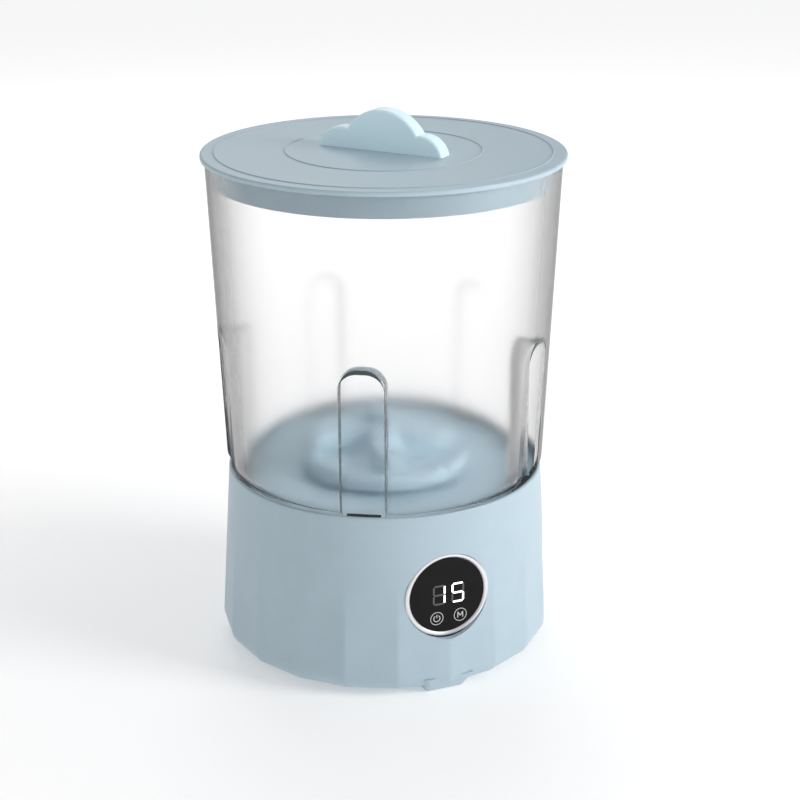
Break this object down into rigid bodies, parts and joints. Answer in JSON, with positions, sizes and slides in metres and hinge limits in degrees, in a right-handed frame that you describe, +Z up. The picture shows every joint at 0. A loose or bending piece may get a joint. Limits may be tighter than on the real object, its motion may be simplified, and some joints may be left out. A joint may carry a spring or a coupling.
{
  "type": "portable mini washer",
  "caption": "Small upright washer with a frosted tapered tub, lift-off lid with a cloud-shaped grip, faceted drive base, round display and geared impeller.",
  "frame": {"origin": "on the floor, under the centre of the tub", "axes": "+Z up through the tub and the lid's centre, the display faces -Y, +X to the right of the display"},
  "size_m": [0.24, 0.24, 0.3705],
  "materials": {
    "blue_plastic": "satin moulded",
    "frosted_plastic": "frosted inside, glossy outside",
    "silver_trim": "satin silver",
    "black_glass": "gloss black",
    "black_plastic": "matte",
    "white_plastic": "satin nylon",
    "rubber": "matte",
    "steel": "zinc plated",
    "bronze": "sintered",
    "circuit_board": "solder mask"
  },
  "bodies": {
    "base": {"tub": "frosted_plastic", "tub_screws": "steel", "tub_floor": "blue_plastic", "floor_screws": "steel", "floor_seal": "rubber", "lip_seal": "rubber", "shaft_bearing": "steel", "base_housing": "blue_plastic", "foot_pads": "rubber", "bottom_cover": "blue_plastic", "cover_screws": "steel", "display_bezel": "silver_trim", "display_lens": "black_glass", "digit_module": "white_plastic", "touch_springs": "steel", "display_board": "circuit_board", "display_holder": "black_plastic", "display_screws": "steel", "control_board": "circuit_board", "board_parts": "black_plastic", "board_screws": "steel", "dc_jack": "black_plastic", "gear_plate": "steel", "plate_screws": "steel", "gear_case": "black_plastic", "case_screws": "steel", "shaft_bush": "bronze", "idler_pin": "steel", "motor_can": "steel", "motor_magnets": "steel", "motor_end_cap": "black_plastic", "motor_screws": "steel"},
    "lid": {"lid_panel": "blue_plastic", "cloud_handle": "blue_plastic", "handle_screws": "steel"},
    "impeller_assembly": {"impeller": "blue_plastic", "impeller_screw": "steel", "drive_shaft": "steel", "shaft_clip": "steel", "output_gear": "white_plastic"},
    "idler": {"idler_gear": "white_plastic"},
    "rotor": {"motor_rotor": "steel", "motor_pinion": "bronze"}
  },
  "joints": [
    {"name": "lid_lift", "type": "slide", "parent": "base", "child": "lid", "axis": [0, 0, 1], "range_m": [0, 0.15]},
    {"name": "impeller_spin", "type": "hinge", "parent": "base", "child": "impeller_assembly", "pos_m": [0, 0, 0.13], "axis": [0, 0, 1], "continuous": true},
    {"name": "idler_spin", "type": "hinge", "parent": "base", "child": "idler", "pos_m": [0, 0.028, 0.085], "axis": [0, 0, 1], "continuous": true},
    {"name": "motor_spin", "type": "hinge", "parent": "base", "child": "rotor", "pos_m": [0, 0.056, 0.06], "axis": [0, 0, 1], "continuous": true}
  ],
  "couplings": [
    {"joint": "idler_spin", "follows": "impeller_spin", "ratio": -3},
    {"joint": "motor_spin", "follows": "impeller_spin", "ratio": 9}
  ]
}
